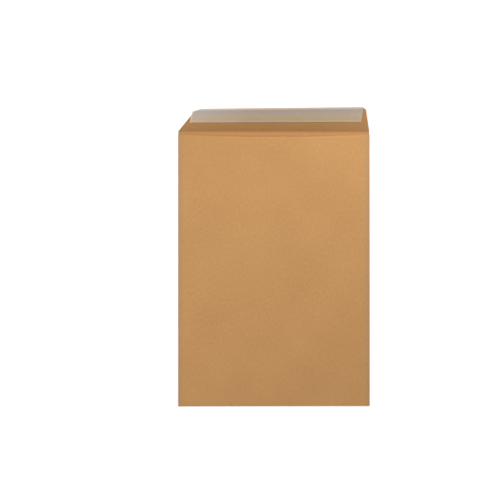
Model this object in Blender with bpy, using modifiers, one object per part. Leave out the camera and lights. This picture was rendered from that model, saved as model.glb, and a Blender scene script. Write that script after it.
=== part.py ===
"""A C4 kraft pocket envelope with a peel-and-seal flap, as a Blender model at real size.

It lies on its address face with the back up. +Y runs from the bottom fold to the flap, +X to the
right as the back is read, +Z up. The origin is the centre of the address face's outside.
"""

import math

import bmesh
import bpy
from mathutils import Vector

# Paper, in metres: 115 g/m2 kraft
SHEET = 0.00015

# The pocket
WIDTH = 0.229
LENGTH = 0.324
EDGE_FOLD_RADIUS = 0.0004
THROAT_DROP = 0.003
THROAT_CURVE = 0.003
MOUTH_GAPE = 0.007
GAPE_POWER = 1.4
BOW_POWER = 2.5

# The narrow side flaps inside, glued under the back panel
SIDE_LAP = 0.016
LAP_SETBACK = 0.001
LAP_END = 0.004

# The closing flap, measured along the paper from its fold
FLAP_DEPTH = 0.0407
FLAP_FOLD_RADIUS = 0.002
FLAP_FOLD_SETBACK = 0.0007
FLAP_ANGLE_LEFT = math.radians(50.3)
FLAP_ANGLE_RIGHT = math.radians(43.8)
SLANT_START = 0.001
SLANT_LEFT = 0.0126
SLANT_LEFT_DEPTH = 0.0307
SLANT_RIGHT = 0.0078
CORNER_HEIGHT = 0.0055
CORNER_LEFT = 0.0095
CORNER_RIGHT = 0.0050
CORNER_POWER = 1.5

# The sealing strip on the flap
GLUE_THICKNESS = 0.0001
LINER_THICKNESS = 0.0001
LINER_WIDTH = 0.025
LINER_TOP_MARGIN = 0.0006
LINER_END_MARGIN = 0.012
LINER_SIDE_CLEARANCE = 0.0006
GLUE_INSET = 0.004
SEAT_GAP = 0.0003

# How finely the sheet is divided
FOLD_STEPS = 4
CROSS_CELLS = 14
LONG_CELLS = 16
SLANT_ROWS = 3
CORNER_STEPS = 4
STRIP_ROWS = 6
CREASE_ANGLE = math.radians(30.0)

# Places worked out from the sizes
HALF_WIDTH = WIDTH / 2 - EDGE_FOLD_RADIUS
BOTTOM_Y = -LENGTH / 2 + EDGE_FOLD_RADIUS
FLAP_FOLD_Y = LENGTH / 2 - FLAP_FOLD_SETBACK
THROAT_Y = LENGTH / 2 - THROAT_DROP
BACK_Z = 2 * EDGE_FOLD_RADIUS
CORNER_START = FLAP_DEPTH - CORNER_HEIGHT
SLANT_LEFT_END = min(SLANT_LEFT_DEPTH, CORNER_START)

KRAFT_COLOUR = (0.55, 0.31, 0.13, 1.0)
GLUE_COLOUR = (0.62, 0.55, 0.40, 1.0)
LINER_COLOUR = (0.48, 0.40, 0.31, 1.0)


def clear_scene():
    """Removes every object that the file starts with."""
    for thing in list(bpy.data.objects):
        bpy.data.objects.remove(thing, do_unlink=True)


def make_collection(name):
    """A collection of the scene that holds the envelope's parts."""
    collection = bpy.data.collections.new(name)
    bpy.context.scene.collection.children.link(collection)
    return collection


def make_material(name, colour, roughness):
    """A plain Principled material."""
    material = bpy.data.materials.new(name)
    material.use_nodes = True
    shader = material.node_tree.nodes["Principled BSDF"]
    shader.inputs["Base Color"].default_value = colour
    shader.inputs["Roughness"].default_value = roughness
    shader.inputs["Metallic"].default_value = 0.0
    return material


def between(low, high, share):
    """The value at a share of the way from low to high."""
    return low + (high - low) * share


def clamp(value):
    """The value held between 0 and 1."""
    return max(0.0, min(1.0, value))


def spread(low, high, cells):
    """Evenly spaced values from low to high, both ends included."""
    return [between(low, high, step / cells) for step in range(cells + 1)]


def cross_stations():
    """Places across the pocket, with a close pair wherever the paper steps by one sheet."""
    panel_edge = WIDTH / 2 - LAP_SETBACK
    lap_edge = WIDTH / 2 - SIDE_LAP
    side = [HALF_WIDTH, panel_edge, panel_edge - SHEET, lap_edge]
    inner = lap_edge - SHEET
    return [-x for x in side] + spread(-inner, inner, CROSS_CELLS) + side[::-1]


def long_stations():
    """Places along the pocket from its bottom fold to its throat."""
    lap_start = BOTTOM_Y + LAP_END
    return [BOTTOM_Y] + spread(lap_start, THROAT_Y, LONG_CELLS)


def lap_rise(x, y):
    """The back panel lies one sheet above the fold, on top of the side flaps."""
    on_lap = 1.0 if abs(x) < WIDTH / 2 - LAP_SETBACK - SHEET / 2 else 0.0
    return SHEET * min(on_lap, clamp((y - BOTTOM_Y) / LAP_END))


def back_place(x, y):
    """Where a place on the back panel lies along the pocket. Its mouth is cut in a shallow curve."""
    middle = 1.0 - (abs(x) / HALF_WIDTH) ** BOW_POWER
    up_the_panel = clamp((y - BOTTOM_Y - LAP_END) / (THROAT_Y - BOTTOM_Y - LAP_END))
    return y - THROAT_CURVE * middle * up_the_panel


def back_height(x, y):
    """Height of the back panel's outside, bowed up a little towards the open mouth."""
    along = (y - BOTTOM_Y) / (THROAT_Y - BOTTOM_Y)
    bow = 1.0 - (abs(x) / HALF_WIDTH) ** BOW_POWER
    return BACK_Z + lap_rise(x, y) + MOUTH_GAPE * along**GAPE_POWER * bow


def flap_angle(x):
    """How far the flap stands up from the floor, a little more on the left."""
    return between(FLAP_ANGLE_LEFT, FLAP_ANGLE_RIGHT, clamp(x / WIDTH + 0.5))


def flap_point(x, depth, lift=0.0):
    """A point at a depth along the flap's outside, lifted off it towards the inside."""
    angle = flap_angle(x)
    arc = FLAP_FOLD_RADIUS * angle
    turn = min(depth / FLAP_FOLD_RADIUS, angle)
    run = max(depth - arc, 0.0)
    radius = FLAP_FOLD_RADIUS - lift
    y = FLAP_FOLD_Y + radius * math.sin(turn) + run * math.cos(turn)
    z = FLAP_FOLD_RADIUS - radius * math.cos(turn) + run * math.sin(turn)
    return Vector((x, y, z))


def flap_inset(depth, slant, slant_end, corner):
    """How far the flap's side edge is from the pocket's side: a slant, then a cut-off corner."""
    into_slant = clamp((depth - SLANT_START) / (slant_end - SLANT_START))
    into_corner = clamp((depth - CORNER_START) / CORNER_HEIGHT)
    return slant * into_slant + corner * into_corner**CORNER_POWER


def flap_sides(depth):
    """The x of the flap's left and right edges at a depth."""
    left = -HALF_WIDTH + flap_inset(depth, SLANT_LEFT, SLANT_LEFT_END, CORNER_LEFT)
    right = HALF_WIDTH - flap_inset(depth, SLANT_RIGHT, CORNER_START, CORNER_RIGHT)
    return left, right


def flap_depths():
    """Depths of the flap's rows: round its fold, up its slant and past its corners."""
    arc = FLAP_FOLD_RADIUS * min(FLAP_ANGLE_LEFT, FLAP_ANGLE_RIGHT)
    fold_rows = spread(0.0, arc, FOLD_STEPS)[1:]
    slant_rows = spread(arc, SLANT_LEFT_END, SLANT_ROWS)[1:]
    corner_rows = spread(CORNER_START, FLAP_DEPTH, CORNER_STEPS)
    if CORNER_START == SLANT_LEFT_END:
        corner_rows = corner_rows[1:]
    return fold_rows + slant_rows + corner_rows


def add_row(bm, points):
    """A row of new vertices."""
    return [bm.verts.new(point) for point in points]


def skin(bm, first, second):
    """Quads between two rows of vertices."""
    for index in range(len(first) - 1):
        bm.faces.new((first[index], first[index + 1], second[index + 1], second[index]))


def rim(rows):
    """The vertices round a grid's left side, bottom row and right side, from throat to throat."""
    left = [row[0] for row in reversed(rows)]
    right = [row[-1] for row in rows]
    return left + rows[0][1:-1] + right


def fold_ring(bm, border, turn):
    """A copy of the pocket's border, carried round the edge fold by an angle."""
    out = EDGE_FOLD_RADIUS * math.sin(turn)
    up = EDGE_FOLD_RADIUS * (1.0 - math.cos(turn))
    ring = []
    for vertex in border:
        x, y, _ = vertex.co
        if abs(abs(x) - HALF_WIDTH) < SHEET / 2:
            x += math.copysign(out, x)
        if abs(y - BOTTOM_Y) < SHEET / 2:
            y -= out
        ring.append(bm.verts.new((x, y, up)))
    return ring


def finish_sheet(bm, name, collection, material):
    """The object of a finished open sheet, its faces turned the same way."""
    bmesh.ops.recalc_face_normals(bm, faces=bm.faces[:])
    mesh = bpy.data.meshes.new(name)
    bm.to_mesh(mesh)
    bm.free()
    mesh.materials.append(material)
    mesh.shade_smooth()
    mesh.set_sharp_from_angle(angle=CREASE_ANGLE)
    sheet = bpy.data.objects.new(name, mesh)
    collection.objects.link(sheet)
    return sheet


def thicken(sheet, thickness, offset):
    """Gives an open sheet its thickness. Offset -1 grows it inward, 1 outward."""
    solidify = sheet.modifiers.new("thickness", "SOLIDIFY")
    solidify.thickness = thickness
    solidify.offset = offset
    return solidify


def mark_laps(sheet):
    """Weights the back panel where a side flap is glued under it, which makes it two sheets."""
    laps = sheet.vertex_groups.new(name="laps")
    glued = [
        vertex.index
        for vertex in sheet.data.vertices
        if vertex.co.z > BACK_Z + SHEET / 2
        and vertex.co.y < THROAT_Y + SHEET
        and abs(vertex.co.x) > WIDTH / 2 - SIDE_LAP - SHEET / 2
    ]
    laps.add(glued, 1.0, "REPLACE")
    return laps


def make_envelope(collection, material):
    """The one folded sheet: address panel, edge folds, back panel and closing flap."""
    bm = bmesh.new()
    across = cross_stations()
    along = long_stations()

    front = [add_row(bm, [(x, y, 0.0) for x in across]) for y in along]
    back = []
    for y in along:
        places = [(x, back_place(x, y)) for x in across]
        back.append(add_row(bm, [(x, place, back_height(x, place)) for x, place in places]))
    for panel in (front, back):
        for lower, upper in zip(panel, panel[1:]):
            skin(bm, lower, upper)

    rings = [rim(front)]
    for step in range(1, FOLD_STEPS):
        rings.append(fold_ring(bm, rings[0], math.pi * step / FOLD_STEPS))
    rings.append(rim(back))
    for lower, upper in zip(rings, rings[1:]):
        skin(bm, lower, upper)

    flap = [front[-1], add_row(bm, [(x, FLAP_FOLD_Y, 0.0) for x in across])]
    shares = [(x / HALF_WIDTH + 1.0) / 2 for x in across]
    for depth in flap_depths():
        left, right = flap_sides(depth)
        places = [between(left, right, share) for share in shares]
        flap.append(add_row(bm, [flap_point(x, depth) for x in places]))
    for lower, upper in zip(flap, flap[1:]):
        skin(bm, lower, upper)

    sheet = finish_sheet(bm, "envelope", collection, material)
    laps = mark_laps(sheet)
    solidify = thicken(sheet, 2 * SHEET, -1.0)
    solidify.vertex_group = laps.name
    solidify.thickness_vertex_group = 0.5
    return sheet


def make_strip(name, inset, lift, thickness, collection, material):
    """A band along the flap's inside, cut to clear the flap's own edges."""
    top = FLAP_DEPTH - LINER_TOP_MARGIN
    depths = spread(top - LINER_WIDTH + inset, top - inset, STRIP_ROWS)
    end = WIDTH / 2 - LINER_END_MARGIN - inset
    clearance = LINER_SIDE_CLEARANCE + inset
    bm = bmesh.new()
    rows = []
    for depth in depths:
        flap_left, flap_right = flap_sides(depth)
        left = max(-end, flap_left + clearance)
        right = min(end, flap_right - clearance)
        places = spread(left, right, CROSS_CELLS)
        rows.append(add_row(bm, [flap_point(x, depth, lift) for x in places]))
    for lower, upper in zip(rows, rows[1:]):
        skin(bm, lower, upper)
    strip = finish_sheet(bm, name, collection, material)
    thicken(strip, thickness, 1.0)
    return strip


def build():
    """Makes the envelope and the two layers of its sealing strip."""
    clear_scene()
    collection = make_collection("kraft_envelope")
    kraft = make_material("kraft_paper", KRAFT_COLOUR, 0.75)
    glue = make_material("sealing_glue", GLUE_COLOUR, 0.35)
    release = make_material("release_paper", LINER_COLOUR, 0.45)

    make_envelope(collection, kraft)
    glue_lift = SHEET + SEAT_GAP
    make_strip("adhesive_strip", GLUE_INSET, glue_lift, GLUE_THICKNESS, collection, glue)
    liner_lift = glue_lift + GLUE_THICKNESS + SEAT_GAP
    make_strip("release_liner", 0.0, liner_lift, LINER_THICKNESS, collection, release)


build()
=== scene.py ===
"""Looks of a C4 kraft pocket envelope, back up, with its peel-and-seal flap sprung open."""

import math

import bmesh
import bpy
from mathutils import Matrix, Vector, noise


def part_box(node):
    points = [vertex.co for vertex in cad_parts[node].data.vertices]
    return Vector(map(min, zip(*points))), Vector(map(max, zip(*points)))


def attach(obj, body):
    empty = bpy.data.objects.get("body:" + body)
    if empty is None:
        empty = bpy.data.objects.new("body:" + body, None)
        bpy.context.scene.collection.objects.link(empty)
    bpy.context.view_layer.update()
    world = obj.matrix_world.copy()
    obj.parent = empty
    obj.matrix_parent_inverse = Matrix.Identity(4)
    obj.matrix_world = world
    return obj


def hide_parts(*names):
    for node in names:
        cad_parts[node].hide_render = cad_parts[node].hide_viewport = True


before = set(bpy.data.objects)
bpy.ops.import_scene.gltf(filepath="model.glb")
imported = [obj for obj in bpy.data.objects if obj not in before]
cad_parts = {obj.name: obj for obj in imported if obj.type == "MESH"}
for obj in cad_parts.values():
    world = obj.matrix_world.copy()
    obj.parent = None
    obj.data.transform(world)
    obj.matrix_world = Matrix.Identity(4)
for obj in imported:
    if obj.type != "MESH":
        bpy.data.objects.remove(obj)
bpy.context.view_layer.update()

# The folded sheet, in metres, as the model has it
SHEET = 0.00015
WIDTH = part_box("envelope")[1].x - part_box("envelope")[0].x
LENGTH = -2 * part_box("envelope")[0].y
EDGE_FOLD_RADIUS = 0.0004
THROAT_DROP = 0.003
THROAT_CURVE = 0.003
MOUTH_GAPE = 0.007
GAPE_POWER = 1.4
BOW_POWER = 2.5
SIDE_LAP = 0.016
LAP_SETBACK = 0.001
LAP_END = 0.004

# The closing flap
FLAP_DEPTH = 0.0407
FLAP_FOLD_RADIUS = 0.002
FLAP_FOLD_SETBACK = 0.0007
FLAP_ANGLE_LEFT = math.radians(50.3)
FLAP_ANGLE_RIGHT = math.radians(43.8)
SLANT_START = 0.001
SLANT_LEFT = 0.0126
SLANT_LEFT_END = 0.0307
SLANT_RIGHT = 0.0078
CORNER_HEIGHT = 0.0055
CORNER_LEFT = 0.0095
CORNER_RIGHT = 0.0050
CORNER_POWER = 1.5

# The sealing strip
GLUE_THICKNESS = 0.00004
LINER_THICKNESS = 0.00006
LINER_WIDTH = 0.025
LINER_TOP_MARGIN = 0.0006
LINER_END_MARGIN = 0.012
LINER_SIDE_CLEARANCE = 0.0006
GLUE_INSET = 0.004
LAYER_GAP = 0.000015

# How paper departs from a perfect surface. Each wave is read at its own level of the noise.
LONG_WAVE = 0.085
LONG_WAVE_HEIGHT = 0.00045
LONG_WAVE_LEVEL = 3.1
SHORT_WAVE = 0.028
SHORT_WAVE_HEIGHT = 0.00007
SHORT_WAVE_LEVEL = 8.7
WAVE_FADE = 0.030
LAP_RIDGE = 0.00004
LAP_RIDGE_WIDTH = 0.0012
FLAP_CURL = 0.0006
FLAP_WAVE = 0.060
FLAP_WAVE_HEIGHT = 0.0001
FLAP_WAVE_LEVEL = 5.3

# How finely the pieces are divided, and the angle from which an edge between faces is sharp
FOLD_STEPS = 8
CROSS_CELLS = 92
LAP_CELLS = 6
LONG_CELLS = 128
LAP_END_CELLS = 3
SLANT_ROWS = 22
UPPER_ROWS = 4
CORNER_STEPS = 10
STRIP_ROWS = 14
SHARP_ANGLE = math.radians(30.0)

# The sheet is thickened as two, and this is the share that a single one keeps
SINGLE_SHARE = 0.5

# Places worked out from the sizes
HALF_WIDTH = WIDTH / 2 - EDGE_FOLD_RADIUS
BOTTOM_Y = -LENGTH / 2 + EDGE_FOLD_RADIUS
FLAP_FOLD_Y = LENGTH / 2 - FLAP_FOLD_SETBACK
THROAT_Y = LENGTH / 2 - THROAT_DROP
BACK_Z = 2 * EDGE_FOLD_RADIUS
CORNER_START = FLAP_DEPTH - CORNER_HEIGHT

# The view: a long lens looks down, a little from the left, and the envelope sits off the middle
FRAME_PIXELS = 480
METRES_PER_PIXEL = 0.0011803
BODY_CENTRE_PIXEL = (273.95, 268.8)
VIEW_FROM_LEFT = math.radians(9.2)
LENS = 800.0
SENSOR = 36.0

# Light
KEY_PLACE = Vector((0.40, 0.43, 0.42))
KEY_AIM = Vector((0.05, 0.10, 0.0))
KEY_SIZE = 0.20
KEY_WATTS = 2.45
SIDE_PLACE = Vector((-0.65, 0.10, 0.93))
SIDE_AIM = Vector((0.0, 0.0, 0.0))
SIDE_SIZE = 0.60
SIDE_WATTS = 7.3
FILL_STRENGTH = 0.23

# The floor, which glows for the camera: from and to a distance in metres, and the glow there
FLOOR_SIZE = 200.0
FLOOR_DROP = 0.0004
FLOOR_GREY = 0.90
FLOOR_GLOW_RANGE = (0.22, 0.70, 0.34, 0.90)


def between(low, high, share):
    """The value at a share of the way from low to high."""
    return low + (high - low) * share


def clamp(value):
    """The value held between 0 and 1."""
    return max(0.0, min(1.0, value))


def ease(value):
    """A smooth rise from 0 to 1."""
    held = clamp(value)
    return held * held * (3.0 - 2.0 * held)


def spread(low, high, cells):
    """Evenly spaced values from low to high, both ends included."""
    return [between(low, high, step / cells) for step in range(cells + 1)]


# Forms of the sheet

def cross_stations():
    """Places across the pocket, with a close pair wherever the paper steps by one sheet."""
    panel_edge = WIDTH / 2 - LAP_SETBACK
    lap_edge = WIDTH / 2 - SIDE_LAP
    side = [HALF_WIDTH, panel_edge, panel_edge - SHEET]
    side += spread(panel_edge - SHEET, lap_edge, LAP_CELLS)[1:]
    inner = lap_edge - SHEET
    return [-x for x in side] + spread(-inner, inner, CROSS_CELLS) + side[::-1]


def long_stations():
    """Places along the pocket from its bottom fold to its throat."""
    lap_start = BOTTOM_Y + LAP_END
    first = spread(BOTTOM_Y, lap_start, LAP_END_CELLS)[:-1]
    return first + spread(lap_start, THROAT_Y, LONG_CELLS)


def lap_rise(x, y):
    """The back panel lies one sheet above the fold, on top of the side flaps."""
    on_lap = 1.0 if abs(x) < WIDTH / 2 - LAP_SETBACK - SHEET / 2 else 0.0
    return SHEET * min(on_lap, clamp((y - BOTTOM_Y) / LAP_END))


def paper_wave(x, y):
    """The back panel's slight unevenness, none at its glued edges and bottom fold."""
    loose = ease((HALF_WIDTH - abs(x)) / WAVE_FADE) * ease((y - BOTTOM_Y) / WAVE_FADE)
    long_wave = noise.noise(Vector((x / LONG_WAVE, y / LONG_WAVE, LONG_WAVE_LEVEL)))
    short_wave = noise.noise(Vector((x / SHORT_WAVE, y / SHORT_WAVE, SHORT_WAVE_LEVEL)))
    return loose * (LONG_WAVE_HEIGHT * long_wave + SHORT_WAVE_HEIGHT * short_wave)


def lap_ridge(x):
    """The side flap's inner edge, showing faintly through the back panel."""
    away = (abs(x) - (WIDTH / 2 - SIDE_LAP)) / LAP_RIDGE_WIDTH
    return LAP_RIDGE * math.exp(-away * away)


def back_place(x, y):
    """Where a place on the back panel lies along the pocket, whose mouth is a shallow curve."""
    middle = 1.0 - (abs(x) / HALF_WIDTH) ** BOW_POWER
    up_the_panel = clamp((y - BOTTOM_Y - LAP_END) / (THROAT_Y - BOTTOM_Y - LAP_END))
    return y - THROAT_CURVE * middle * up_the_panel


def back_height(x, y):
    """Height of the back panel's outside, bowed up a little towards the open mouth."""
    along = (y - BOTTOM_Y) / (THROAT_Y - BOTTOM_Y)
    bow = 1.0 - (abs(x) / HALF_WIDTH) ** BOW_POWER
    arch = MOUTH_GAPE * along**GAPE_POWER * bow
    return BACK_Z + lap_rise(x, y) + arch + paper_wave(x, y) + lap_ridge(x)


def flap_angle(x):
    """How far the flap stands up from the floor, a little more on the left."""
    return between(FLAP_ANGLE_LEFT, FLAP_ANGLE_RIGHT, clamp(x / WIDTH + 0.5))


def flap_point(x, depth, lift=0.0):
    """A point at a depth along the flap's outside, lifted off it towards the inside."""
    angle = flap_angle(x)
    arc = FLAP_FOLD_RADIUS * angle
    turn = min(depth / FLAP_FOLD_RADIUS, angle)
    run = max(depth - arc, 0.0)
    share = run / FLAP_DEPTH
    curl = FLAP_CURL * math.sin(math.pi * share)
    ripple = noise.noise(Vector((x / FLAP_WAVE, FLAP_WAVE_LEVEL, 0.0)))
    wave = FLAP_WAVE_HEIGHT * share**2 * ripple
    raised = lift + wave - curl
    y = FLAP_FOLD_Y + FLAP_FOLD_RADIUS * math.sin(turn) + run * math.cos(turn)
    z = FLAP_FOLD_RADIUS - FLAP_FOLD_RADIUS * math.cos(turn) + run * math.sin(turn)
    return Vector((x, y - raised * math.sin(turn), z + raised * math.cos(turn)))


def flap_inset(depth, slant, slant_end, corner):
    """How far the flap's side edge is from the pocket's side: a slant, then a cut-off corner."""
    into_slant = clamp((depth - SLANT_START) / (slant_end - SLANT_START))
    into_corner = clamp((depth - CORNER_START) / CORNER_HEIGHT)
    return slant * into_slant + corner * into_corner**CORNER_POWER


def flap_sides(depth):
    """The x of the flap's left and right edges at a depth."""
    left = -HALF_WIDTH + flap_inset(depth, SLANT_LEFT, SLANT_LEFT_END, CORNER_LEFT)
    right = HALF_WIDTH - flap_inset(depth, SLANT_RIGHT, CORNER_START, CORNER_RIGHT)
    return left, right


def flap_depths():
    """Depths of the flap's rows: round its fold, up its slant and past its corners."""
    arc = FLAP_FOLD_RADIUS * min(FLAP_ANGLE_LEFT, FLAP_ANGLE_RIGHT)
    fold_rows = spread(0.0, arc, FOLD_STEPS)[1:]
    slant_rows = spread(arc, SLANT_LEFT_END, SLANT_ROWS)[1:]
    upper_rows = spread(SLANT_LEFT_END, CORNER_START, UPPER_ROWS)[1:]
    corner_rows = spread(CORNER_START, FLAP_DEPTH, CORNER_STEPS)[1:]
    return fold_rows + slant_rows + upper_rows + corner_rows


# Mesh work: a row is a list of vertices, each with its place on the unfolded sheet

def add_row(draft, points, places):
    """A row of new vertices at the points, with their places on the flat sheet."""
    return [(draft.verts.new(point), place) for point, place in zip(points, places)]


def skin(draft, uv_layer, first, second):
    """Quads between two rows."""
    for index in range(len(first) - 1):
        ring = (first[index], first[index + 1], second[index + 1], second[index])
        face = draft.faces.new([vertex for vertex, _ in ring])
        for loop, (_, place) in zip(face.loops, ring):
            loop[uv_layer].uv = place


def rim(rows):
    """The vertices round a grid's left side, bottom row and right side, from throat to throat."""
    left = [row[0] for row in reversed(rows)]
    right = [row[-1] for row in rows]
    return left + rows[0][1:-1] + right


def fold_ring(draft, border, turn):
    """A copy of the pocket's border, carried round the edge fold by an angle."""
    out = EDGE_FOLD_RADIUS * math.sin(turn)
    up = EDGE_FOLD_RADIUS * (1.0 - math.cos(turn))
    along = EDGE_FOLD_RADIUS * turn
    ring = []
    for vertex, (u, v) in border:
        x, y, _ = vertex.co
        if abs(abs(x) - HALF_WIDTH) < SHEET / 2:
            u += math.copysign(along, x)
            x += math.copysign(out, x)
        if abs(y - BOTTOM_Y) < SHEET / 2:
            v -= along
            y -= out
        ring.append((draft.verts.new((x, y, up)), (u, v)))
    return ring


def sheet_object(draft, name, materials):
    """The object of a finished open sheet, its faces turned the same way."""
    bmesh.ops.recalc_face_normals(draft, faces=draft.faces[:])
    mesh = bpy.data.meshes.new(name)
    draft.to_mesh(mesh)
    draft.free()
    for material in materials:
        mesh.materials.append(material)
    mesh.shade_smooth()
    mesh.set_sharp_from_angle(angle=SHARP_ANGLE)
    piece = bpy.data.objects.new(name, mesh)
    bpy.context.scene.collection.objects.link(piece)
    return piece


def thicken(piece, thickness, offset):
    """Gives an open sheet its thickness, with the second material on its cut edges."""
    solidify = piece.modifiers.new("thickness", "SOLIDIFY")
    solidify.thickness = thickness
    solidify.offset = offset
    solidify.material_offset_rim = 1
    return solidify


def settle(piece, node):
    """Ties a finished piece to the body and hides the node that it stands for."""
    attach(piece, "root")
    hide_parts(node)


def mark_laps(piece):
    """Weights the back panel where a side flap is glued under it, which makes it two sheets."""
    laps = piece.vertex_groups.new(name="laps")
    glued = [
        vertex.index
        for vertex in piece.data.vertices
        if vertex.co.z > BACK_Z + SHEET / 2
        and vertex.co.y < THROAT_Y + SHEET
        and abs(vertex.co.x) > WIDTH / 2 - SIDE_LAP - SHEET / 2
    ]
    laps.add(glued, 1.0, "REPLACE")
    return laps


def make_envelope(kraft, cut_edge):
    """The one folded sheet: address panel, edge folds, back panel and closing flap."""
    draft = bmesh.new()
    uv_layer = draft.loops.layers.uv.new("sheet")
    across = cross_stations()
    along = long_stations()
    mirror_line = 2 * BOTTOM_Y - math.pi * EDGE_FOLD_RADIUS

    front = []
    back = []
    for y in along:
        front.append(add_row(draft, [(x, y, 0.0) for x in across], [(x, y) for x in across]))
        places = [(x, back_place(x, y)) for x in across]
        points = [(x, place, back_height(x, place)) for x, place in places]
        back.append(add_row(draft, points, [(x, mirror_line - place) for x, place in places]))
    for panel in (front, back):
        for lower, upper in zip(panel, panel[1:]):
            skin(draft, uv_layer, lower, upper)

    rings = [rim(front)]
    for step in range(1, FOLD_STEPS):
        rings.append(fold_ring(draft, rings[0], math.pi * step / FOLD_STEPS))
    last = rim(back)
    rings.append([(vertex, place) for (vertex, _), (_, place) in zip(last, rings[-1])])
    for lower, upper in zip(rings, rings[1:]):
        skin(draft, uv_layer, lower, upper)

    fold_points = [(x, FLAP_FOLD_Y, 0.0) for x in across]
    flap = [front[-1], add_row(draft, fold_points, [(x, FLAP_FOLD_Y) for x in across])]
    shares = [(x / HALF_WIDTH + 1.0) / 2 for x in across]
    for depth in flap_depths():
        left, right = flap_sides(depth)
        columns = [between(left, right, share) for share in shares]
        points = [flap_point(x, depth) for x in columns]
        flap.append(add_row(draft, points, [(x, FLAP_FOLD_Y + depth) for x in columns]))
    for lower, upper in zip(flap, flap[1:]):
        skin(draft, uv_layer, lower, upper)

    piece = sheet_object(draft, "kraft_sheet", [kraft, cut_edge])
    solidify = thicken(piece, 2 * SHEET, -1.0)
    solidify.vertex_group = mark_laps(piece).name
    solidify.thickness_vertex_group = SINGLE_SHARE
    settle(piece, "envelope")


def make_strip(name, inset, lift, thickness, materials, node):
    """A band along the flap's inside. Its places are metres along it and 0 to 1 across it."""
    top = FLAP_DEPTH - LINER_TOP_MARGIN
    end = WIDTH / 2 - LINER_END_MARGIN - inset
    clearance = LINER_SIDE_CLEARANCE + inset
    draft = bmesh.new()
    uv_layer = draft.loops.layers.uv.new("sheet")
    rows = []
    for share in spread(0.0, 1.0, STRIP_ROWS):
        depth = between(top - LINER_WIDTH + inset, top - inset, share)
        flap_left, flap_right = flap_sides(depth)
        left = max(-end, flap_left + clearance)
        right = min(end, flap_right - clearance)
        columns = spread(left, right, CROSS_CELLS)
        points = [flap_point(x, depth, lift) for x in columns]
        rows.append(add_row(draft, points, [(x, share) for x in columns]))
    for lower, upper in zip(rows, rows[1:]):
        skin(draft, uv_layer, lower, upper)
    piece = sheet_object(draft, name, materials)
    thicken(piece, thickness, 1.0)
    settle(piece, node)


# Materials

WHITE = (1.0, 1.0, 1.0)

# Each noise below has a scale in waves per metre. A range is its low and high, and what they become.
NOISE_ROUGHNESS = 0.55
NOISE_DETAIL = 3.0
NO_STRETCH = (1.0, 1.0)

# Where the Mix node has its two colours and its result
MIX_FIRST = 6
MIX_SECOND = 7
MIX_RESULT = 2

# Kraft: the paper's two tones, its dark and light fibres, and its relief
KRAFT_DARK = (0.505, 0.255, 0.089)
KRAFT_LIGHT = (0.610, 0.325, 0.122)
FIBRE_DARK = (0.330, 0.165, 0.066)
FIBRE_LIGHT = (0.730, 0.450, 0.225)
CLOUDS = {"scale": 16.0, "detail": 2.0}
CLOUDS_RANGE = (0.3, 0.7, -0.16, 0.16)
MOTTLE = {"scale": 420.0, "stretch": (1.0, 0.6)}
MOTTLE_RANGE = (0.25, 0.75, 0.18, 0.82)
LONG_FIBRES = {"scale": 2400.0, "stretch": (1.0, 0.10), "turn": 0.06}
DARK_FIBRE_RANGE = (0.60, 0.76, 0.0, 0.40)
SLANTED_FIBRES = {"scale": 2000.0, "stretch": (1.0, 0.16), "turn": 0.95}
LIGHT_FIBRE_RANGE = (0.60, 0.76, 0.0, 0.30)
GRAIN = {"scale": 5200.0, "detail": 2.0}
KRAFT_RELIEF = 0.00003
KRAFT_RELIEF_STRENGTH = 0.55
KRAFT_ROUGHNESS_RANGE = (0.25, 0.75, 0.66, 0.80)
KRAFT_SPECULAR = 0.30

# Painted shade that darkens the paper at the flap's fold and along the two folded sides, in metres
# on the flat sheet
FOLD_SHADE_START = 0.1580
FOLD_SHADE_FULL = 0.1604
FOLD_SHADE_WANE = FLAP_FOLD_Y + 0.0008
FOLD_SHADE_END = FLAP_FOLD_Y + 0.0025
FOLD_SHADE_DEPTH = 0.38
SIDE_SHADE_COLOUR = (0.354, 0.250, 0.155)
SIDE_SHADE_START = HALF_WIDTH - 0.006
SIDE_SHADE_FULL = HALF_WIDTH - 0.003
SIDE_SHADE_DEPTH = 0.30

# Cut edges: the sheet's, and the liner's, which is white paper inside its coating
CUT_RANGE = (0.3, 0.7, 0.0, 1.0)
SHEET_CUT = {
    "scale": 1800.0,
    "dark": (0.56, 0.33, 0.16),
    "light": (0.74, 0.50, 0.28),
    "roughness": 0.9,
    "specular": 0.2,
}
LINER_CUT = {
    "scale": 900.0,
    "dark": (0.66, 0.60, 0.52),
    "light": (0.80, 0.76, 0.70),
    "roughness": 0.7,
    "specular": 0.5,
}

# Liner: colours across it from its lower edge, and a painted sheen that makes its left end paler, by
# x
LINER_STOPS = [
    (0.00, (0.76, 0.57, 0.37)),
    (0.13, (0.70, 0.49, 0.29)),
    (0.20, (0.60, 0.45, 0.26)),
    (0.45, (0.60, 0.50, 0.335)),
    (0.62, (0.58, 0.47, 0.38)),
    (0.84, (0.54, 0.44, 0.385)),
    (0.90, (0.60, 0.53, 0.45)),
    (1.00, (0.63, 0.57, 0.49)),
]
LINER_DRIFT = {"scale": 60.0, "stretch": (1.0, 0.02)}
LINER_DRIFT_RANGE = (0.3, 0.7, -0.02, 0.02)
LINER_CLOUDS = {"scale": 90.0, "stretch": (1.0, 0.03)}
LINER_CLOUDS_RANGE = (0.35, 0.75, 0.0, 0.16)
LINER_CLOUD_COLOUR = (0.74, 0.68, 0.62)
LINER_PAINTED_SHEEN_RANGE = (-0.100, -0.030, 0.45, 0.0)
LINER_PAINTED_SHEEN_LOW = (0.90, 0.74, 0.56)
LINER_PAINTED_SHEEN_HIGH = (0.70, 0.78, 0.81)
LINER_RIPPLE = {"scale": 420.0, "stretch": (1.0, 0.012)}
LINER_RELIEF = 0.00004
LINER_RELIEF_STRENGTH = 0.5
LINER_ROUGHNESS_RANGE = (0.3, 0.7, 0.34, 0.46)
LINER_SPECULAR = 0.5

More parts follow.
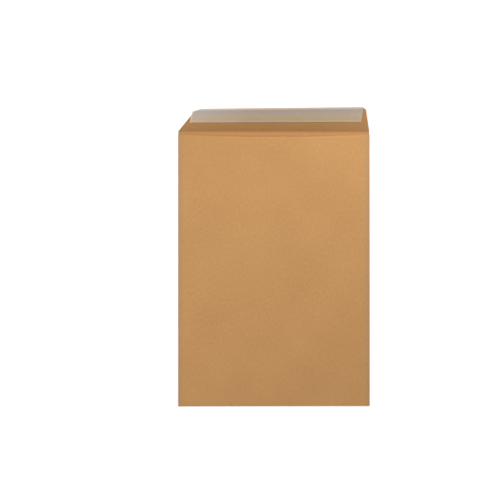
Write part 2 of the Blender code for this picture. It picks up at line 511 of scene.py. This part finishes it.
# Glue
GLUE_DARK = (0.50, 0.38, 0.20)
GLUE_LIGHT = (0.66, 0.54, 0.34)
GLUE_BUBBLES = {"scale": 700.0, "stretch": (1.0, 0.02)}
GLUE_RANGE = (0.35, 0.65, 0.0, 1.0)
GLUE_RELIEF = 0.00003
GLUE_RELIEF_STRENGTH = 0.6
GLUE_ROUGHNESS = 0.25


def opaque(colour):
    """The colour with full alpha, as a colour socket takes it."""
    return (*colour, 1.0)


def new_material(name):
    """A material's node tree with its Principled shader."""
    material = bpy.data.materials.new(name)
    material.use_nodes = True
    nodes = material.node_tree.nodes
    return material, nodes, material.node_tree.links, nodes["Principled BSDF"]


def flat_places(nodes):
    """The output that gives each point's place on the unfolded sheet."""
    places = nodes.new("ShaderNodeUVMap")
    places.uv_map = "sheet"
    return places.outputs["UV"]


def noise_on(nodes, links, places, scale, stretch=NO_STRETCH, detail=NOISE_DETAIL, turn=0.0):
    """A noise value on the sheet, per metre, stretched and turned where the grain runs."""
    mapping = nodes.new("ShaderNodeMapping")
    mapping.inputs["Rotation"].default_value = (0.0, 0.0, turn)
    mapping.inputs["Scale"].default_value = (scale * stretch[0], scale * stretch[1], scale)
    texture = nodes.new("ShaderNodeTexNoise")
    texture.inputs["Scale"].default_value = 1.0
    texture.inputs["Detail"].default_value = detail
    texture.inputs["Roughness"].default_value = NOISE_ROUGHNESS
    links.new(places, mapping.inputs["Vector"])
    links.new(mapping.outputs["Vector"], texture.inputs["Vector"])
    return texture.outputs["Fac"]


def remap(nodes, links, value, low, high, to_low, to_high):
    """A value stretched from one range to another and held inside it."""
    node = nodes.new("ShaderNodeMapRange")
    node.inputs["From Min"].default_value = low
    node.inputs["From Max"].default_value = high
    node.inputs["To Min"].default_value = to_low
    node.inputs["To Max"].default_value = to_high
    links.new(value, node.inputs["Value"])
    return node.outputs["Result"]


def combine(nodes, links, operation, first, second=None):
    """Two values joined by one operation, or one value changed by it."""
    node = nodes.new("ShaderNodeMath")
    node.operation = operation
    links.new(first, node.inputs[0])
    if second is not None:
        links.new(second, node.inputs[1])
    return node.outputs["Value"]


def blend_colour(nodes, links, share, first, second):
    """A colour between two. Each is a colour or another node's output."""
    node = nodes.new("ShaderNodeMix")
    node.data_type = "RGBA"
    links.new(share, node.inputs["Factor"])
    for place, colour in ((MIX_FIRST, first), (MIX_SECOND, second)):
        if isinstance(colour, tuple):
            node.inputs[place].default_value = opaque(colour)
        else:
            links.new(colour, node.inputs[place])
    return node.outputs[MIX_RESULT]


def add_bump(nodes, links, shader, height, distance, strength):
    """Small relief on a shader."""
    bump = nodes.new("ShaderNodeBump")
    bump.inputs["Distance"].default_value = distance
    bump.inputs["Strength"].default_value = strength
    links.new(height, bump.inputs["Height"])
    links.new(bump.outputs["Normal"], shader.inputs["Normal"])


def split_places(nodes, links, places):
    """The two measures of a place on the sheet, first the one across the pocket."""
    split = nodes.new("ShaderNodeSeparateXYZ")
    links.new(places, split.inputs["Vector"])
    return split.outputs["X"], split.outputs["Y"]


def painted_fold_shade(nodes, links, places, colour):
    """The colour darkened by painted shade at the flap's fold and along the two folded sides."""
    across, along = split_places(nodes, links, places)
    # Painted shade at the flap's fold: it rises towards the fold, fades past it, and draws the
    # colour towards the dark fibre colour.
    rise = remap(nodes, links, along, FOLD_SHADE_START, FOLD_SHADE_FULL, 0.0, FOLD_SHADE_DEPTH)
    fall = remap(nodes, links, along, FOLD_SHADE_WANE, FOLD_SHADE_END, 1.0, 0.0)
    fold_shade = combine(nodes, links, "MULTIPLY", rise, fall)
    fold_shaded = blend_colour(nodes, links, fold_shade, colour, FIBRE_DARK)
    # Painted shade along the two folded sides: the colour drawn towards a darker brown near them.
    aside = combine(nodes, links, "ABSOLUTE", across)
    side = remap(nodes, links, aside, SIDE_SHADE_START, SIDE_SHADE_FULL, 0.0, SIDE_SHADE_DEPTH)
    return blend_colour(nodes, links, side, fold_shaded, SIDE_SHADE_COLOUR)


def make_kraft():
    """Machine-finished kraft: cloudy, with fine fibres, and painted shade along its folds."""
    material, nodes, links, shader = new_material("kraft_paper")
    places = flat_places(nodes)
    cloud = noise_on(nodes, links, places, **CLOUDS)
    mottle = noise_on(nodes, links, places, **MOTTLE)
    long_fibre = noise_on(nodes, links, places, **LONG_FIBRES)
    slanted_fibre = noise_on(nodes, links, places, **SLANTED_FIBRES)
    grain = noise_on(nodes, links, places, **GRAIN)

    clouds = remap(nodes, links, cloud, *CLOUDS_RANGE)
    mottles = remap(nodes, links, mottle, *MOTTLE_RANGE)
    tone = combine(nodes, links, "ADD", mottles, clouds)
    base = blend_colour(nodes, links, tone, KRAFT_DARK, KRAFT_LIGHT)
    dark = remap(nodes, links, long_fibre, *DARK_FIBRE_RANGE)
    with_dark = blend_colour(nodes, links, dark, base, FIBRE_DARK)
    light = remap(nodes, links, slanted_fibre, *LIGHT_FIBRE_RANGE)
    fibrous = blend_colour(nodes, links, light, with_dark, FIBRE_LIGHT)
    links.new(painted_fold_shade(nodes, links, places, fibrous), shader.inputs["Base Color"])

    fibres = combine(nodes, links, "ADD", long_fibre, slanted_fibre)
    relief = combine(nodes, links, "ADD", fibres, grain)
    add_bump(nodes, links, shader, relief, KRAFT_RELIEF, KRAFT_RELIEF_STRENGTH)
    shine = remap(nodes, links, mottle, *KRAFT_ROUGHNESS_RANGE)
    links.new(shine, shader.inputs["Roughness"])
    shader.inputs["Specular IOR Level"].default_value = KRAFT_SPECULAR
    return material


def make_cut_edge(name, scale, dark, light, roughness, specular):
    """The paler, fuzzier edge where paper was cut."""
    material, nodes, links, shader = new_material(name)
    fuzz = noise_on(nodes, links, flat_places(nodes), scale)
    tone = remap(nodes, links, fuzz, *CUT_RANGE)
    colour = blend_colour(nodes, links, tone, dark, light)
    links.new(colour, shader.inputs["Base Color"])
    shader.inputs["Roughness"].default_value = roughness
    shader.inputs["Specular IOR Level"].default_value = specular
    return material


def liner_bands(nodes, links, across):
    """The liner's colour by how far across it a place is."""
    ramp = nodes.new("ShaderNodeValToRGB")
    stops = ramp.color_ramp.elements
    for index, (place, colour) in enumerate(LINER_STOPS):
        stop = stops[index] if index < len(stops) else stops.new(place)
        stop.position = place
        stop.color = opaque(colour)
    links.new(across, ramp.inputs["Fac"])
    return ramp.outputs["Color"]


def make_liner():
    """Thin siliconised paper, with a painted sheen that makes its left end paler. The glue shows
    through as a darker band.
    """
    material, nodes, links, shader = new_material("release_paper")
    places = flat_places(nodes)
    along, straight = split_places(nodes, links, places)
    wander = noise_on(nodes, links, places, **LINER_DRIFT)
    drift = remap(nodes, links, wander, *LINER_DRIFT_RANGE)
    across = combine(nodes, links, "ADD", straight, drift)
    bands = liner_bands(nodes, links, across)
    cloud = noise_on(nodes, links, places, **LINER_CLOUDS)
    light = remap(nodes, links, cloud, *LINER_CLOUDS_RANGE)
    clouded = blend_colour(nodes, links, light, bands, LINER_CLOUD_COLOUR)
    # Painted sheen: the liner's left end is blended towards paler colours.
    sheen_share = remap(nodes, links, along, *LINER_PAINTED_SHEEN_RANGE)
    painted_sheen = blend_colour(nodes, links, across, LINER_PAINTED_SHEEN_LOW, LINER_PAINTED_SHEEN_HIGH)
    colour = blend_colour(nodes, links, sheen_share, clouded, painted_sheen)
    links.new(colour, shader.inputs["Base Color"])

    ripple = noise_on(nodes, links, places, **LINER_RIPPLE)
    add_bump(nodes, links, shader, ripple, LINER_RELIEF, LINER_RELIEF_STRENGTH)
    shine = remap(nodes, links, cloud, *LINER_ROUGHNESS_RANGE)
    links.new(shine, shader.inputs["Roughness"])
    shader.inputs["Specular IOR Level"].default_value = LINER_SPECULAR
    return material


def make_glue():
    """Clear yellowish adhesive with small bubbles."""
    material, nodes, links, shader = new_material("sealing_glue")
    bubbles = noise_on(nodes, links, flat_places(nodes), **GLUE_BUBBLES)
    tone = remap(nodes, links, bubbles, *GLUE_RANGE)
    colour = blend_colour(nodes, links, tone, GLUE_DARK, GLUE_LIGHT)
    links.new(colour, shader.inputs["Base Color"])
    add_bump(nodes, links, shader, bubbles, GLUE_RELIEF, GLUE_RELIEF_STRENGTH)
    shader.inputs["Roughness"].default_value = GLUE_ROUGHNESS
    return material


# Surroundings

def seen_directly(nodes, links):
    """1 for camera, glossy and transmission rays, which see the white surroundings."""
    path = nodes.new("ShaderNodeLightPath")
    outputs = path.outputs
    either = combine(nodes, links, "MAXIMUM", outputs["Is Camera Ray"], outputs["Is Glossy Ray"])
    return combine(nodes, links, "MAXIMUM", either, outputs["Is Transmission Ray"])


def make_world():
    """White where it is seen, and a soft even fill elsewhere."""
    world = bpy.data.worlds.new("studio")
    bpy.context.scene.world = world
    world.use_nodes = True
    nodes = world.node_tree.nodes
    links = world.node_tree.links
    background = nodes["Background"]
    background.inputs["Color"].default_value = opaque(WHITE)
    seen = seen_directly(nodes, links)
    strength = remap(nodes, links, seen, 0.0, 1.0, FILL_STRENGTH, 1.0)
    links.new(strength, background.inputs["Strength"])


def make_floor():
    """A plain white floor that keeps the envelope's shadow and stays white far away."""
    bpy.ops.mesh.primitive_plane_add(size=FLOOR_SIZE, location=(0.0, 0.0, -FLOOR_DROP))
    floor = bpy.context.object
    floor.name = "floor"
    material, nodes, links, shader = new_material("floor_white")
    shader.inputs["Base Color"].default_value = opaque((FLOOR_GREY, FLOOR_GREY, FLOOR_GREY))
    shader.inputs["Roughness"].default_value = 1.0
    shader.inputs["Specular IOR Level"].default_value = 0.0
    shader.inputs["Emission Color"].default_value = opaque(WHITE)
    places = nodes.new("ShaderNodeTexCoord")
    away = nodes.new("ShaderNodeVectorMath")
    away.operation = "LENGTH"
    links.new(places.outputs["Object"], away.inputs[0])
    level = remap(nodes, links, away.outputs["Value"], *FLOOR_GLOW_RANGE)
    glow = combine(nodes, links, "MULTIPLY", level, seen_directly(nodes, links))
    links.new(glow, shader.inputs["Emission Strength"])
    floor.data.materials.append(material)


def make_lamp(name, place, aim, size, watts):
    """A round soft lamp that the camera doesn't see."""
    light = bpy.data.lights.new(name, "AREA")
    light.shape = "DISK"
    light.size = size
    light.energy = watts
    lamp = bpy.data.objects.new(name, light)
    lamp.location = place
    lamp.rotation_euler = (aim - place).to_track_quat("-Z", "Y").to_euler()
    lamp.visible_camera = False
    bpy.context.scene.collection.objects.link(lamp)


def make_camera():
    """Looks down from a little to the left, far away, with the envelope in its place."""
    right = Vector((math.cos(VIEW_FROM_LEFT), 0.0, math.sin(VIEW_FROM_LEFT)))
    up = Vector((0.0, 1.0, 0.0))
    back = right.cross(up)
    middle = FRAME_PIXELS / 2
    aside = (middle - BODY_CENTRE_PIXEL[0]) * METRES_PER_PIXEL
    above = (BODY_CENTRE_PIXEL[1] - middle) * METRES_PER_PIXEL
    distance = FRAME_PIXELS * METRES_PER_PIXEL * LENS / SENSOR
    data = bpy.data.cameras.new("camera")
    data.lens = LENS
    data.sensor_width = SENSOR
    data.clip_end = 2 * distance
    camera = bpy.data.objects.new("camera", data)
    turn = Matrix((right, up, back)).transposed()
    camera.rotation_euler = turn.to_euler()
    camera.location = right * aside + up * above + back * distance
    bpy.context.scene.collection.objects.link(camera)
    bpy.context.scene.camera = camera


def build():
    """Makes the pieces, the materials and the studio."""
    bpy.context.scene.view_settings.view_transform = "Standard"
    make_envelope(make_kraft(), make_cut_edge("cut_edge", **SHEET_CUT))
    glue_lift = SHEET + LAYER_GAP
    glue = make_glue()
    make_strip(
        "glue_band", GLUE_INSET, glue_lift, GLUE_THICKNESS,
        [glue, glue], "adhesive_strip",
    )
    liner_lift = glue_lift + GLUE_THICKNESS + LAYER_GAP
    liner = make_liner()
    liner_edge = make_cut_edge("liner_cut_edge", **LINER_CUT)
    make_strip(
        "liner_strip", 0.0, liner_lift, LINER_THICKNESS,
        [liner, liner_edge], "release_liner",
    )
    make_world()
    make_floor()
    make_lamp("key", KEY_PLACE, KEY_AIM, KEY_SIZE, KEY_WATTS)
    make_lamp("side", SIDE_PLACE, SIDE_AIM, SIDE_SIZE, SIDE_WATTS)
    make_camera()


build()
